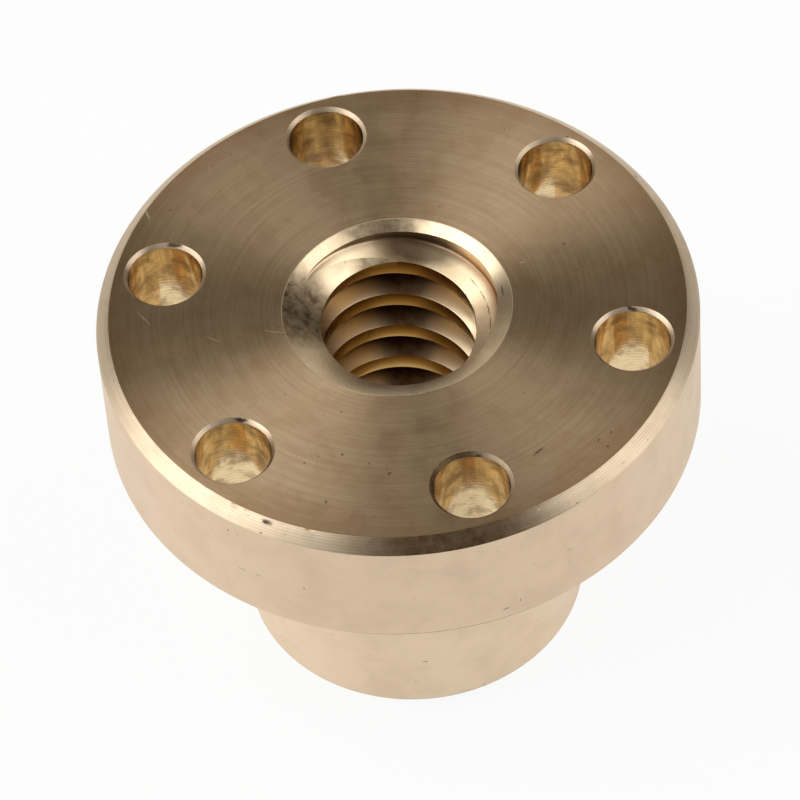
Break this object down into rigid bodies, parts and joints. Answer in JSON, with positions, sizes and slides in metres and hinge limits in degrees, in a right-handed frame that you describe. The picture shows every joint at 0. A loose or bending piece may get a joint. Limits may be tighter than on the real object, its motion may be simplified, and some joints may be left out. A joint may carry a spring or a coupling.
{
  "type": "lead screw nut",
  "caption": "Round flanged bronze nut for a lead screw: a trapezoidal internal thread through a locating hub, with a ring of bolt holes in the flange.",
  "frame": {"origin": "centre of the hub's end face", "axes": "+Z along the thread's axis, from the hub's end to the flange; +X through one bolt hole"},
  "size_m": [0.048, 0.048, 0.035],
  "materials": {
    "bronze": "turned, with fine tool rings on the faces and a dull tarnish"
  },
  "bodies": {
    "root": {"flanged_nut": "bronze"}
  },
  "joints": []
}
